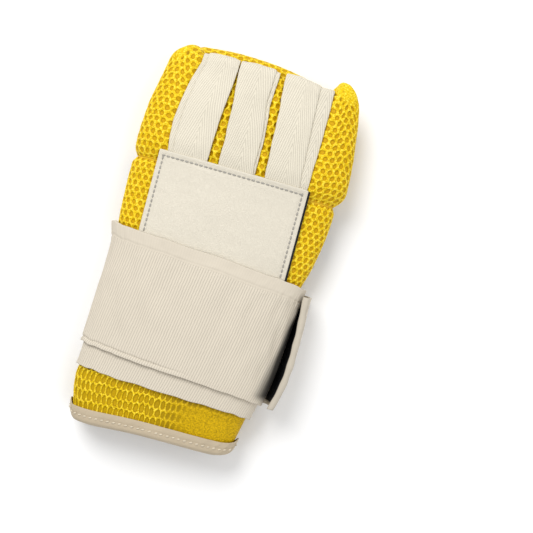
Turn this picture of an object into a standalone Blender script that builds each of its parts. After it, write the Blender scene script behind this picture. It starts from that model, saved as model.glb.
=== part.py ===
"""Open-finger training glove with a padded knuckle section, finger tapes and a wound wrist strap.

Left-hand glove lying palm down. +Y points from the wrist to the fingers, +X to the thumb side,
+Z out of the back of the hand. The origin is under the middle of the glove, on the table.

Every sheet is a box bent onto one shared form. The form is a closed section (a superellipse)
that changes along the glove, so a sheet is given by the stretch it covers and its depth.
Lengths in this file are millimetres; they become metres as each mesh is made.
"""

import math

import bmesh
import bpy
from mathutils import Vector

MM = 0.001

# ---- Driving dimensions (mm) ----
ORIGIN_ALONG = 121.1        # from the cuff's edge to the origin
ORIGIN_ACROSS = -1.3        # the origin is under the middle of the whole glove
STRAP_WIDTH = 75.0
TAPE_PLY = 0.8
GAP = 0.4                   # clearance between neighbouring pieces
LINING_GAP = 0.6            # from the foam to the lining
MESH_THICK = 1.6
FOAM_THICK = 3.4
LINING_THICK = 1.2
ELASTIC_THICK = 1.6
STRAP_LAYER = 2.3           # one turn of the strap further out
FLEX_ALONG = 164.0          # the seam where the glove bends
FLEX_HEIGHT = 20.0
PANEL_START = 3.0
PANEL_END = 163.2
COVER_START = 165.0
FOLD_ALONG = 233.2          # about where the tapes turn over the front edge
PAD_THICK = 11.0            # knuckle padding with its cover, on top
SIDE_THICK = 5.0            # the same at the sides
COVER_BACK_SHARE = 0.45     # share of the knuckle cover's length that lies on the back
COVER_ROUND_SHARE = 0.65    # and up to here it goes round the front edge
BINDING_WIDTH = 10.0
BINDING_THICK = 0.9
BINDING_GAP = 0.3
SIDE_FADE = 25.0            # degrees in which the padding of the back fades in from a side seam

# ---- The form: (distance from the cuff's edge, value) ----
LEFT_SIDE = [(0, -61.5), (9, -63.5), (26, -66), (36, -64.6), (49, -63.7), (109, -61.5), (124, -64.5),
             (144, -65.5), (164, -66), (172, -66.5), (192, -65.5), (214, -62), (228, -60), (240, -59)]
RIGHT_SIDE = [(0, 37), (24, 42), (49, 47), (109, 53), (124, 57), (144, 60.5), (164, 62.5),
              (174, 66), (192, 65), (214, 62.5), (228, 60), (240, 59)]
TOP_HEIGHT = [(0, 31), (24, 33), (49, 34), (109, 34.5), (124, 35.5), (144, 36.5), (164, 37.5),
              (180, 39.8), (200, 40), (214, 39), (228, 36.5), (240, 35)]
BOTTOM_HEIGHT = [(0, 2.2), (20, 3.4), (34, 4.4), (124, 4.4), (144, 2.4), (170, 1.2), (240, 1.2)]
TOP_ROUNDNESS = 2.5         # superellipse exponents
BOTTOM_ROUNDNESS = 3.2
BOTTOM_FLAT = 0.96          # share of the depth at which the underside becomes flat

# ---- Edges: (angle round the form, distance along) ----
CUFF_EDGE = [(0, 3), (20, 0), (40, -1), (90, -0.5), (140, -2.5), (160, -2.5), (180, 1), (200, -1),
             (270, -1), (340, 0), (360, 3)]
FRONT_EDGE = [(-48, 219), (-20, 224), (0, 228), (14, 231), (25, 236.5), (32, 238.3), (37, 236.5),
              (44, 232), (60, 231.5), (84, 233.2), (131, 233.6), (138, 235.6), (144, 236.8), (151, 235.6),
              (160, 232.4), (180, 228), (200, 224), (228, 219)]
PALM_EDGE = [(180, 148), (215, 134), (250, 120), (290, 118), (330, 121), (360, 124)]
COVER_LOW_RIGHT = -48.0     # where the knuckle cover ends on the palm side, in degrees
COVER_LOW_LEFT = 228.0
SIDE_BINDING_TURN = 4.6     # the side bindings lie this far beyond, in degrees

# ---- Wrist strap: (winding angle, distance of its wrist-side edge from the cuff's edge) ----
STRAP_EDGE = [(-20, 25), (180, 33), (360, 36), (540, 47), (690, 37), (760, 36)]
STRAP_START = -20.0
STRAP_END = 690.0
STRAP_CLIMBS = ((300.0, 38.0), (660.0, 28.0))   # where it climbs a layer: (start, span), in degrees
TAIL_START = 692.0
TAIL_END = 736.0
TAIL_HEM = 6.0              # degrees
HEM_EXTRA = 1.2             # folded plies on each side of the tail's end
TAIL_TRIM = 4.0             # the tail is this much narrower than the strap
TAIL_LIFT = 6.2             # how far the tail's end stands off at rest, at most
TAIL_LIFT_SHARES = [(0, 0.8), (0.3, 1.0), (0.65, 0.75), (1, 0.12)]   # across its width, from the cuff's side
TAIL_LIFT_SPAN = (700.0, 42.0)
HOOK_THICK = 1.2
HOOK_START = 708.0
HOOK_ROOM = 1.9             # the tail stands this much further out, over the hook tape
HOOK_ROOM_SPAN = 14.0
STRAP_GAP = 0.5             # from the mesh to the strap's first layer
FOLD_OUT = 0.3              # the tail's fold line is this far outside the strap

# ---- Finger tapes: left and right edges where they are sewn in, at the front fold, at the bar ----
TAPES = {
    "finger_tape_1": ((-45.5, -20.0), (-39.5, -16.6), (-33.0, -21.0)),
    "finger_tape_2": ((-14.0, 9.4), (-16.0, 9.0), (-6.0, 6.0)),
    "finger_tape_3": ((15.5, 41.5), (11.0, 41.0), (22.0, 34.0)),
}
TAPE_START = 165.8
TAPE_FOLD_SHARE = 0.5       # shares of a tape's length where it starts and ends its front fold
TAPE_DROP_SHARE = 0.75
BAR_RADIUS = 5.3            # the bar rests on the table
BAR_WALL = 1.2
BAR_LEFT, BAR_RIGHT = -43.0, 46.0
BAR_ALONG = [(-43, 236.2), (-20, 237.8), (-5, 237.4), (10, 236), (30, 232), (46, 228.4)]   # over x

PATCH_X = (-50.0, 43.0)
PATCH_ALONG = (109.0, 171.0)
BACKING_END = 165.0
PATCH_TILT = 1.6            # its thumb-side end lies this much nearer the wrist
PATCH_DEPTHS = (1.55, 2.5)
BACKING_DEPTHS = (0.4, 1.1)
BACKING_SHIFT = 0.8         # the backing shows this much at the thumb side
EDGE_BINDING_RADIUS = 1.9
EDGE_CLEARANCE = 1.2        # along the glove, where the palm opening's edge runs at a slant

COLOURS = {
    "yellow_mesh": ((0.83, 0.58, 0.02), 0.55),
    "foam": ((0.80, 0.78, 0.70), 0.95),
    "lining": ((0.78, 0.60, 0.08), 0.85),
    "cream_binding": ((0.80, 0.74, 0.62), 0.70),
    "white_elastic": ((0.84, 0.80, 0.72), 0.85),
    "herringbone_tape": ((0.86, 0.83, 0.76), 0.85),
    "white_leather": ((0.86, 0.84, 0.78), 0.50),
    "black_hook": ((0.02, 0.02, 0.02), 0.80),
}


def smooth_through(stations, at):
    """Monotone cubic through the stations: it never overshoots, and stays flat between equal values."""
    at = min(max(at, stations[0][0]), stations[-1][0])
    steps = [(b[0] - a[0], (b[1] - a[1]) / (b[0] - a[0])) for a, b in zip(stations, stations[1:])]
    slopes = [steps[0][1]]
    for (_, before), (_, after) in zip(steps, steps[1:]):
        slopes.append(0.0 if before * after <= 0 else 2 * before * after / (before + after))
    slopes.append(steps[-1][1])
    i = max(k for k in range(len(steps)) if stations[k][0] <= at)
    width = steps[i][0]
    t = (at - stations[i][0]) / width
    low, high = stations[i][1], stations[i + 1][1]
    return (low * (1 + 2 * t) * (1 - t) ** 2 + high * t * t * (3 - 2 * t)
            + width * (slopes[i] * t * (1 - t) ** 2 + slopes[i + 1] * t * t * (t - 1)))


def mix(a, b, t):
    return a + (b - a) * t


def ease(t):
    t = min(max(t, 0.0), 1.0)
    return t * t * (3 - 2 * t)


def section(along):
    """(centre x, half width, middle height, half height) of the form."""
    left, right = smooth_through(LEFT_SIDE, along), smooth_through(RIGHT_SIDE, along)
    top = smooth_through(TOP_HEIGHT, along)
    bottom = smooth_through(BOTTOM_HEIGHT, along)
    return (left + right) / 2, (right - left) / 2, (top + bottom) / 2, (top - bottom) / 2


def placed(x, along, z):
    """A point in metres, in the glove's own frame."""
    return Vector((x - ORIGIN_ACROSS, along - ORIGIN_ALONG, z)) * MM


def on_form(angle, along, off):
    """The form's point at an angle (0 thumb side, 90 back of hand, 180 little-finger side, 270 palm)."""
    centre, wide, middle, high = section(along)
    c, s = math.cos(math.radians(angle)), math.sin(math.radians(angle))
    power = 2 / (TOP_ROUNDNESS if s >= 0 else BOTTOM_ROUNDNESS)
    across = math.copysign(abs(c) ** power, c)
    up = abs(s) ** power if s >= 0 else -min(abs(s) ** power, BOTTOM_FLAT) / BOTTOM_FLAT
    return placed(centre + (wide + off) * across, along, middle + (high + off) * up)


def top_at(x, along, off=0.0):
    """The form's height over x, on the back of the hand."""
    centre, wide, middle, high = section(along)
    share = min(abs(x - centre) / (wide + off), 1.0)
    return middle + (high + off) * (1 - share ** TOP_ROUNDNESS) ** (1 / TOP_ROUNDNESS)


# ---- Scene helpers ----

def clear_scene():
    for obj in list(bpy.data.objects):
        bpy.data.objects.remove(obj)


def new_collection(name):
    found = bpy.data.collections.new(name)
    bpy.context.scene.collection.children.link(found)
    return found


def material(name):
    found = bpy.data.materials.get(name)
    if found is None:
        colour, roughness = COLOURS[name]
        found = bpy.data.materials.new(name)
        found.use_nodes = True
        shader = found.node_tree.nodes["Principled BSDF"]
        shader.inputs["Base Color"].default_value = (*colour, 1.0)
        shader.inputs["Roughness"].default_value = roughness
        shader.inputs["Metallic"].default_value = 0.0
    return found


def add_object(name, data, finish, collection, parent):
    data.materials.append(material(finish))
    obj = bpy.data.objects.new(name, data)
    collection.objects.link(obj)
    obj.parent = parent
    obj.matrix_parent_inverse = parent.matrix_world.inverted()
    return obj


def bent_box(name, finish, home, rule, cuts):
    """A unit box, cut into a grid, whose points go where rule(across, along, through) says."""
    bm = bmesh.new()
    bmesh.ops.create_cube(bm, size=1.0)
    for axis, count in enumerate(cuts):
        edges = [e for e in bm.edges if abs(e.verts[0].co[axis] - e.verts[1].co[axis]) > 0.9]
        if count:
            bmesh.ops.subdivide_edges(bm, edges=edges, cuts=count, use_grid_fill=True)
    for vert in bm.verts:
        vert.co = rule(*(component + 0.5 for component in vert.co))
    if bm.calc_volume(signed=True) < 0:
        bmesh.ops.reverse_faces(bm, faces=bm.faces)
    mesh = bpy.data.meshes.new(name)
    bm.to_mesh(mesh)
    bm.free()
    mesh.shade_smooth()
    mesh.set_sharp_from_angle(angle=math.radians(50))
    return add_object(name, mesh, finish, *home)


def round_bar(name, finish, home, points, radius):
    """A round rod along the points."""
    curve = bpy.data.curves.new(name, "CURVE")
    curve.dimensions = "3D"
    curve.bevel_depth = radius * MM
    curve.bevel_resolution = 2
    curve.use_fill_caps = True
    spline = curve.splines.new("POLY")
    spline.points.add(len(points) - 1)
    for slot, point in zip(spline.points, points):
        slot.co = (*point, 1.0)
    return add_object(name, curve, finish, *home)


# ---- Depths of the layers ----

def back_fade(angle):
    """1 over the back of the hand, 0 at the side seams and below."""
    return ease(math.sin(math.radians(angle)) / math.sin(math.radians(SIDE_FADE)))


def pad_thickness(angle):
    return mix(SIDE_THICK, PAD_THICK, ease(math.sin(math.radians(angle)) / 0.6))


def cuff_edge(angle):
    """How far forward of the panel's start the cuff's edge lies."""
    return smooth_through(CUFF_EDGE, angle)


def pad_front(angle):
    """How far forward the knuckle cover reaches: furthest at its corners, beside the tapes."""
    return smooth_through(FRONT_EDGE, angle)


def front_over(x):
    """The knuckle cover's reach over x, on the back of the hand."""
    centre, wide, _, _ = section(FOLD_ALONG)
    share = (x - centre) / wide
    return pad_front(math.degrees(math.acos(math.copysign(abs(share) ** (TOP_ROUNDNESS / 2), share))))


# ---- Hand section ----

def back_mesh_panel(home):
    def rule(i, j, k):
        angle = mix(0, 180, i)
        along = mix(PANEL_START + cuff_edge(angle), PANEL_END, j)
        return on_form(angle, along, -MESH_THICK * (1 - k))
    bent_box("back_mesh_panel", "yellow_mesh", home, rule, (23, 19, 0))


def palm_mesh_panel(home):
    def rule(i, j, k):
        angle = mix(181, 359, i)
        along = mix(PANEL_START + cuff_edge(angle), smooth_through(PALM_EDGE, angle), j)
        return on_form(angle, along, -MESH_THICK * (1 - k))
    bent_box("palm_mesh_panel", "yellow_mesh", home, rule, (23, 13, 0))


def back_foam(home):
    def rule(i, j, k):
        angle = mix(12, 168, i)
        outer = -MESH_THICK - GAP
        return on_form(angle, mix(7, 160, j), outer - FOAM_THICK * back_fade(angle) * (1 - k))
    bent_box("back_foam", "foam", home, rule, (15, 11, 0))


def back_lining(home):
    def rule(i, j, k):
        angle = mix(2, 178, i)
        outer = -MESH_THICK - GAP - LINING_GAP - FOAM_THICK * back_fade(angle)
        along = mix(PANEL_START + cuff_edge(angle), PANEL_END, j)
        return on_form(angle, along, outer - LINING_THICK * (1 - k))
    bent_box("back_lining", "lining", home, rule, (19, 11, 0))


def wall_depth(angle):
    """How deep the cuff's wall is, with room for the binding."""
    side = ease((math.sin(math.radians(angle)) + 0.25) / 0.2)
    lining = LINING_THICK + GAP + LINING_GAP + 0.2
    return MESH_THICK + BINDING_GAP + lining * side + FOAM_THICK * back_fade(angle)


def cuff_binding(home):
    """A strip folded over the cuff's edge: outer flange, edge, inner flange."""
    def rule(i, j, k):
        angle = mix(0.3, 359.7, i)
        deep = wall_depth(angle)
        out = mix(0.0, BINDING_THICK, k)
        edge = PANEL_START - 0.5 - out
        corners = [(BINDING_WIDTH, BINDING_GAP + out), (edge, BINDING_GAP + out),
                   (edge, -deep - out), (BINDING_WIDTH, -deep - out)]
        place = min(int(j * 3 + 1e-6), 2)
        share = j * 3 - place
        (along_a, off_a), (along_b, off_b) = corners[place], corners[place + 1]
        return on_form(angle, mix(along_a, along_b, share) + cuff_edge(angle), mix(off_a, off_b, share))
    bent_box("cuff_binding", "cream_binding", home, rule, (39, 2, 0))


def on_back(x, along, off):
    along = along - PATCH_TILT * (x - PATCH_X[0]) / (PATCH_X[1] - PATCH_X[0])
    return placed(x, along, top_at(x, along) + off)


def back_patch(home):
    def rule(i, j, k):
        return on_back(mix(*PATCH_X, i), mix(*PATCH_ALONG, j), mix(*PATCH_DEPTHS, k))
    bent_box("back_patch", "white_leather", home, rule, (13, 7, 0))


def patch_backing(home):
    def rule(i, j, k):
        return on_back(mix(*PATCH_X, i) + BACKING_SHIFT, mix(PATCH_ALONG[0], BACKING_END, j),
                       mix(*BACKING_DEPTHS, k))
    bent_box("patch_backing", "black_hook", home, rule, (13, 7, 0))


def strap_layer(winding):
    """Which layer of the winding the strap is in: it climbs one layer at the thumb-side corner."""
    return sum(ease((winding - start) / span) for start, span in STRAP_CLIMBS)


def wrist_strap(home):
    def rule(i, j, k):
        winding = mix(STRAP_START, STRAP_END, i)
        along = smooth_through(STRAP_EDGE, winding) + STRAP_WIDTH * j
        off = STRAP_GAP + STRAP_LAYER * strap_layer(winding) + ELASTIC_THICK * k
        return on_form(winding % 360, along, off)
    bent_box("wrist_strap", "white_elastic", home, rule, (87, 5, 0))


def palm_opening_binding(home):
    """Round binding along the palm panel's front edge."""
    points = []
    for step in range(33):
        angle = mix(184, 356, step / 32)
        along = smooth_through(PALM_EDGE, angle) + EDGE_BINDING_RADIUS + EDGE_CLEARANCE
        points.append(on_form(angle, along, -MESH_THICK / 2))
    round_bar("palm_opening_binding", "cream_binding", home, points, EDGE_BINDING_RADIUS)


# ---- Knuckle section ----

def knuckle_cover(home):
    """One mesh sheet over the padding: along the back, round the front edge, and back underneath."""
    def rule(i, j, k):
        angle = mix(COVER_LOW_RIGHT, COVER_LOW_LEFT, i)
        thick = pad_thickness(angle)
        turn = pad_front(angle) - thick / 2
        skin = MESH_THICK * (1 - k)
        if j < COVER_BACK_SHARE:
            return on_form(angle, mix(COVER_START, turn, j / COVER_BACK_SHARE), -skin)
        if j > COVER_ROUND_SHARE:
            back = (j - COVER_ROUND_SHARE) / (1 - COVER_ROUND_SHARE)
            return on_form(angle, mix(turn, COVER_START, back), -thick + skin)
        bend = math.pi * (0.5 - (j - COVER_BACK_SHARE) / (COVER_ROUND_SHARE - COVER_BACK_SHARE))
        radius = thick / 2 - skin
        return on_form(angle, turn + radius * math.cos(bend), -thick / 2 + radius * math.sin(bend))
    bent_box("knuckle_cover", "yellow_mesh", home, rule, (55, 19, 0))


def knuckle_foam(home):
    def rule(i, j, k):
        angle = mix(10, 170, i)
        thick = pad_thickness(angle)
        inset = MESH_THICK + GAP
        return on_form(angle, mix(COVER_START + 2, pad_front(angle) - thick / 2 - 0.5, j),
                       mix(inset - thick, -inset, k))
    bent_box("knuckle_foam", "foam", home, rule, (31, 9, 0))


def finger_tape(name, edges, home):
    """A tape over the knuckles, round the front edge, and down to the finger bar, where it gathers."""
    sewn, fold, bar = edges
    bar_top = 2 * BAR_RADIUS + GAP

    def rule(i, j, k):
        out = GAP + TAPE_PLY * k
        x = mix(*fold, i)
        turn = front_over(x) - PAD_THICK / 2
        if j < TAPE_FOLD_SHARE:
            t = j / TAPE_FOLD_SHARE
            along = mix(TAPE_START, turn, t)
            x = mix(mix(*sewn, i), x, t)
            return placed(x, along, top_at(x, along) + out)
        radius = PAD_THICK / 2 + out
        centre_height = top_at(x, turn) - PAD_THICK / 2
        if j <= TAPE_DROP_SHARE:
            bend = math.pi / 2 * (TAPE_DROP_SHARE - j) / (TAPE_DROP_SHARE - TAPE_FOLD_SHARE)
            return placed(x, turn + radius * math.cos(bend), centre_height + radius * math.sin(bend))
        t = (j - TAPE_DROP_SHARE) / (1 - TAPE_DROP_SHARE)
        at_bar = mix(*bar, i)
        along = mix(turn + radius, smooth_through(BAR_ALONG, at_bar) + TAPE_PLY * k, ease(t))
        return placed(mix(x, at_bar, ease(t)), along, mix(centre_height, bar_top, t))
    bent_box(name, "herringbone_tape", home, rule, (5, 15, 0))


def bar_point(t):
    """The finger bar's centre line, from the little-finger side (0) to the thumb side (1)."""
    x = mix(BAR_LEFT, BAR_RIGHT, t)
    return Vector((x, smooth_through(BAR_ALONG, x), BAR_RADIUS))


def finger_bar(home):
    def rule(i, j, k):
        turn = math.radians(mix(271, 629, i))
        radius = mix(BAR_RADIUS - BAR_WALL, BAR_RADIUS, k)
        x, along, z = bar_point(j)
        return placed(x, along + radius * math.cos(turn), z + radius * math.sin(turn))
    bent_box("finger_bar_cover", "yellow_mesh", home, rule, (15, 11, 0))
    core = [placed(*bar_point(step / 12)) for step in range(13)]
    round_bar("finger_bar_core", "foam", home, core, BAR_RADIUS - BAR_WALL - GAP)


def side_binding(name, angle, home):
    """Round binding along a palm-side edge of the knuckle cover."""
    towards = math.copysign(SIDE_BINDING_TURN, angle - 90)
    points = []
    for step in range(13):
        along = mix(COVER_START + 1, pad_front(angle) - 5, step / 12)
        points.append(on_form(angle + towards, along, -SIDE_THICK / 2))
    round_bar(name, "cream_binding", home, points, EDGE_BINDING_RADIUS)


# ---- Strap tail ----

def tail_point(winding, j, depth):
    """The tail's surface, depth out from its inner face: one layer out, with room for the hook tape
    under it, and lifted at its end."""
    along = smooth_through(STRAP_EDGE, winding) + (STRAP_WIDTH - TAIL_TRIM) * j
    room = HOOK_ROOM * ease((winding - TAIL_START) / HOOK_ROOM_SPAN)
    start, span = TAIL_LIFT_SPAN
    lift = TAIL_LIFT * ease((winding - start) / span) * smooth_through(TAIL_LIFT_SHARES, j)
    return on_form(winding % 360, along, STRAP_GAP + 2 * STRAP_LAYER + room + lift + depth)


def tail_hinge(j):
    """The fold where the tail leaves the winding, on the strap's outer face."""
    return tail_point((STRAP_END + TAIL_START) / 2, j, ELASTIC_THICK + FOLD_OUT)


def strap_tail(home):
    def rule(i, j, k):
        return tail_point(mix(TAIL_START, TAIL_END, i), j, ELASTIC_THICK * k)
    bent_box("strap_tail", "white_elastic", home, rule, (9, 3, 0))


def tail_hem(home):
    """The folded and stitched end of the tail, two plies thick."""
    def rule(i, j, k):
        winding = mix(TAIL_END + 0.7, TAIL_END + TAIL_HEM, i)
        return tail_point(winding, j, mix(-HEM_EXTRA, ELASTIC_THICK + HEM_EXTRA, k))
    bent_box("tail_hem", "white_elastic", home, rule, (2, 3, 0))


def hook_patch(home):
    def rule(i, j, k):
        winding = mix(HOOK_START, TAIL_END - 1.5, i)
        return tail_point(winding, mix(0.05, 0.95, j), -0.3 - HOOK_THICK * (1 - k))
    bent_box("hook_patch", "black_hook", home, rule, (6, 3, 0))


# ---- Assembly ----

def joint_empty(name, place, collection):
    empty = bpy.data.objects.new(name, None)
    empty.empty_display_size = 0.02
    empty.location = place
    collection.objects.link(empty)
    bpy.context.view_layer.update()
    return empty


def main():
    clear_scene()
    parts = new_collection("mma_glove")
    hand = joint_empty("hand_section", (0, 0, 0), parts)
    knuckles = joint_empty("knuckle_flex_axis", placed(0, FLEX_ALONG, FLEX_HEIGHT), parts)
    tail = joint_empty("strap_tail_axis", tail_hinge(0.5), parts)

    for build in (back_mesh_panel, palm_mesh_panel, back_foam, back_lining, cuff_binding,
                  patch_backing, back_patch, wrist_strap, palm_opening_binding):
        build((parts, hand))
    knuckle_cover((parts, knuckles))
    knuckle_foam((parts, knuckles))
    for name, edges in TAPES.items():
        finger_tape(name, edges, (parts, knuckles))
    finger_bar((parts, knuckles))
    side_binding("thumb_side_binding", COVER_LOW_RIGHT, (parts, knuckles))
    side_binding("little_finger_side_binding", COVER_LOW_LEFT, (parts, knuckles))
    for build in (strap_tail, tail_hem, hook_patch):
        build((parts, tail))


main()
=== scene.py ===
"""Cloth, tapes, strap and stitching of an open-finger training glove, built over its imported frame.

Lengths are millimetres until a mesh is written. The form, a closed section that changes along the
glove, is the frame's own: angle 0 is the thumb side, 90 the back of the hand, 180 the little-finger
side and 270 the palm, and "along" runs from the cuff's edge to the fingers.
"""
import functools
import math

import bmesh
import bpy
from bpy.props import FloatProperty, FloatVectorProperty, IntProperty, PointerProperty
from mathutils import Matrix, Vector, noise


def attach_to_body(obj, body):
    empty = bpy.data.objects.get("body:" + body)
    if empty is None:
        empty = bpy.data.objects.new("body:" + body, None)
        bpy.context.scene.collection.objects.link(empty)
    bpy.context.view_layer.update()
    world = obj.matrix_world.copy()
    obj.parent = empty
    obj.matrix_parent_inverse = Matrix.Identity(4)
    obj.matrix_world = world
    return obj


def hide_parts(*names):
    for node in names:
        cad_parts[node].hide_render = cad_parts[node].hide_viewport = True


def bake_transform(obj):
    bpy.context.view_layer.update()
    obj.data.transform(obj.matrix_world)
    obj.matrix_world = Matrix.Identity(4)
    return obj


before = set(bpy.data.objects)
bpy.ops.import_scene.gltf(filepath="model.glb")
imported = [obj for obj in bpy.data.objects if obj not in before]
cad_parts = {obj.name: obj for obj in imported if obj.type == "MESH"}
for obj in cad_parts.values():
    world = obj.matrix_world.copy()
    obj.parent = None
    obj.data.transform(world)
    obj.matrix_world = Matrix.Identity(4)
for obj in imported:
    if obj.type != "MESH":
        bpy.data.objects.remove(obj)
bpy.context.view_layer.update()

bl_info = {
    "name": "Training Glove",
    "version": (1, 0, 0),
    "blender": (4, 5, 0),
    "location": "3D View > Sidebar > Glove",
    "description": "Builds the cloth, tapes, strap and stitching of an open-finger training glove",
    "category": "Add Mesh",
}

MM = 0.001

# ---- The frame's own sizes (mm) ----
ORIGIN_ALONG = 121.1
ORIGIN_ACROSS = -1.3
LEFT_SIDE = [(0, -61.5), (9, -63.5), (26, -66), (36, -64.6), (49, -63.7), (109, -61.5), (124, -64.5),
             (144, -65.5), (164, -66), (172, -66.5), (192, -65.5), (214, -62), (228, -60), (240, -59)]
RIGHT_SIDE = [(0, 37), (24, 42), (49, 47), (109, 53), (124, 57), (144, 60.5), (164, 62.5),
              (174, 66), (192, 65), (214, 62.5), (228, 60), (240, 59)]
TOP_HEIGHT = [(0, 31), (24, 33), (49, 34), (109, 34.5), (124, 35.5), (144, 36.5), (164, 37.5),
              (180, 39.8), (200, 40), (214, 39), (228, 36.5), (240, 35)]
BOTTOM_HEIGHT = [(0, 2.2), (20, 3.4), (34, 4.4), (124, 4.4), (144, 2.4), (170, 1.2), (240, 1.2)]
TOP_ROUNDNESS, BOTTOM_ROUNDNESS, BOTTOM_FLAT = 2.5, 3.2, 0.96
CUFF_EDGE = [(0, 3), (20, 0), (40, -1), (90, -0.5), (140, -2.5), (160, -2.5), (180, 1), (200, -1),
             (270, -1), (340, 0), (360, 3)]
FRONT_EDGE = [(-48, 219), (-20, 224), (0, 228), (14, 231), (25, 236.5), (32, 238.3), (37, 236.5),
              (44, 232), (60, 231.5), (84, 233.2), (131, 233.6), (138, 235.6), (144, 236.8), (151, 235.6),
              (160, 232.4), (180, 228), (200, 224), (228, 219)]
PALM_EDGE = [(180, 148), (215, 134), (250, 120), (290, 118), (330, 121), (360, 124)]
STRAP_EDGE = [(-20, 25), (180, 33), (360, 36), (540, 47), (690, 37), (760, 36)]
STRAP_START, STRAP_SHOWN_TO = -20.0, 684.0      # windings are in degrees; the tail covers the rest
STRAP_WIDTH, STRAP_LAYER, STRAP_GAP = 75.0, 2.3, 0.5
FIRST_CLIMB, SECOND_CLIMB = (300, 38), (660, 28)    # where the strap climbs on to itself, and over how far
STRAP_ROWS = [(0, 0), (0.22, 0.10), (0.68, 0.84), (1, 1)]       # its rows lie closest near both edges
SELVEDGE = 8.3              # the smooth band along the strap's finger-side edge
PAINTED_GAP_SHADE_REACH, PAINTED_GAP_SHADE_ALONG = 9.0, (40.0, 96.0)      # painted shade of the deep gap under the lifted tail, darkening the strap beside it
TAIL_START, TAIL_END, TAIL_HEM, TAIL_TRIM = 692.0, 736.0, 6.0, 4.0
TAIL_JOIN, HOOK_START, HOOK_ROOM = 676, 706, 1.9    # its start, its hook tape, and room for that
TAIL_LIFT, TAIL_LIFT_START, TAIL_LIFT_OVER = 6.2, 700, 42
TAIL_LIFT_SHARES = [(0, 0.8), (0.3, 1.0), (0.65, 0.75), (1, 0.12)]
FLEX_ALONG = 164.0
COVER_START, COVER_LOW_RIGHT, COVER_LOW_LEFT, SIDE_BINDING_TURN = 165.0, -48.0, 228.0, 4.6
COVER_FOLD, COVER_BACK = 232, 62        # the cover's front fold, and the cloth from the seam to there
PAD_THICK, SIDE_THICK, FOLD_ALONG = 11.0, 5.0, 233.2
MESH_THICK, FOAM_THICK, LINING_THICK, ELASTIC_THICK = 1.6, 3.4, 1.2, 1.6
CUFF_START, CUFF_MESH_END = 5.5, 46.0       # the cuff's cloth, from inside its binding to under the strap
PANEL_START = 98.0                          # back and palm panels start under the strap
BINDING_REACH, BINDING_NOSE, BINDING_ROUND = 10.2, 3.0, 2.2     # its edge, its fold and the fold's radius
BINDING_FOLD_START, BINDING_FOLD_END = 0.36, 0.64       # shares of the binding's width
PATCH_X, PATCH_ALONG, PATCH_TILT = (-50.0, 43.0), (109.0, 171.0), 1.6
TAPE_START = 165.8
# Each finger tape: left and right edges of its upper ply, the same of its lower ply, as (along, x),
# and its ends on the bar.
TAPES = {
    "finger_tape_1": (
        ([(166, -41.6), (189, -42.8), (204, -41.4), (219, -38.6), (231, -35.6)],
         [(166, -20.5), (204, -18.5), (222, -16.9), (231, -16.4)]),
        ([(166, -45.0), (189, -46.5), (204, -45.0), (219, -42.0), (231, -38.4)], [(166, -30), (231, -28)]),
        (-33.0, -21.0)),
    "finger_tape_2": (
        ([(166, -13.5), (204, -14.0), (217, -15.2), (226, -16.1), (231, -16.3)],
         [(166, 8.0), (194, 7.6), (214, 5.4), (229, 5.8), (232, 6.8)]),
        ([(166, -4.0), (231, -6.0)], [(166, 9.2), (194, 9.4), (214, 7.5), (229, 8.6), (232, 9.8)]),
        (-6.0, 6.0)),
    "finger_tape_3": (
        ([(166, 15.5), (194, 14.0), (214, 13.0), (229, 11.7), (232, 10.7)],
         [(166, 37.2), (204, 35.2), (230, 34.0)]),
        ([(166, 28.0), (230, 26.0)], [(166, 41.7), (204, 43.0), (230, 42.8)]),
        (22.0, 34.0)),
}
BAR_RADIUS, BAR_LEFT, BAR_RIGHT = 5.3, -43.0, 46.0
BAR_ALONG = [(-43, 236.2), (-20, 237.8), (-5, 237.4), (10, 236), (30, 232), (46, 228.4)]
HAND, KNUCKLES, TAIL = "hand_section", "knuckle_section", "strap_end"
CUFF_CELL = 0.80, 1.18                  # pitch across and up of the cuff's stretched cells, as shares
ROW_SHARE = 0.87                        # a honeycomb's rows lie closer than its columns
CUFF_LEVEL = 0.55                       # how sunk the cuff's mesh is where its holes have closed
CUFF_OPEN = 0.55                        # how far its holes open on the thumb side, at most
LOWER_PLY_END = 0.745                   # a tape's lower ply ends just past the front fold
FLOOR_RADIUS = 3000
VIEW_CENTRE = (30.1, 119.2, 35)         # x, along and height that the camera looks at


# ---- Settings a user would change ----

def colour_of(name, description, default):
    return FloatVectorProperty(name=name, description=description, subtype="COLOR", size=3, default=default)


class NetSettings(bpy.types.PropertyGroup):
    pitch: FloatProperty(name="Cell pitch", description="Distance between the mesh's holes, in mm",
                         default=4.3)
    strand: FloatProperty(name="Strand", description="Half a strand's width as a share of the pitch",
                          default=0.09)
    cuff_strand: FloatProperty(name="Cuff strand", description="The same for the cuff's stretched mesh",
                               default=0.045)
    sink: FloatProperty(name="Sink", description="Depth of the holes, in mm", default=1.0)
    unevenness: FloatProperty(name="Unevenness", description="How irregular the cells are", default=0.12)
    colour: colour_of("Strand colour", "Yellow of the strands", (0.76, 0.52, 0.004))
    glint: colour_of("Glint colour", "Yarn that catches the light", (0.98, 0.79, 0.08))
    # painted shade on the strands' slopes down into the holes
    slope: colour_of("Slope colour", "Colour between strand and hole", (0.66, 0.415, 0.003))
    rim: colour_of("Rim colour", "Colour of the shaded rim inside the holes", (0.34, 0.18, 0.002))
    # the backing seen in the holes: its own darker ochre with painted shade
    deep: colour_of("Hole colour", "Colour at the bottom of the holes", (0.58, 0.33, 0.003))


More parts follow.
